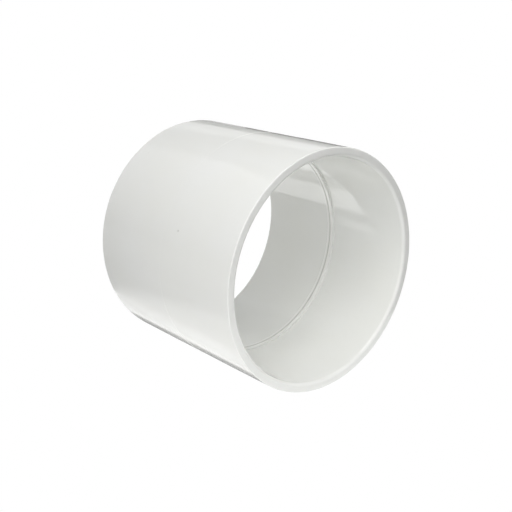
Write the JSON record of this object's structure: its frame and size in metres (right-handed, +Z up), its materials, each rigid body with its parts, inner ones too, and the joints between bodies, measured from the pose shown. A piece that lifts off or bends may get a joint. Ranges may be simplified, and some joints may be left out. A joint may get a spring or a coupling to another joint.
{
  "type": "pipe coupling",
  "caption": "Straight white plastic pipe coupling: a plain sleeve with a socket at each end that a pipe pushes into, up to a low stop ring half way.",
  "frame": {"origin": "centre of the stop ring, on the bore's axis, half way along the coupling", "axes": "+Y along the bore's axis towards the back mouth; +Z up as the coupling lies on its side; +X to the right"},
  "size_m": [0.12, 0.1046, 0.1198],
  "materials": {
    "white_pvc": "moulded white PVC, glossy, with faint flow marks and a fine witness line"
  },
  "bodies": {
    "root": {"coupling_body": "white_pvc"}
  },
  "joints": []
}
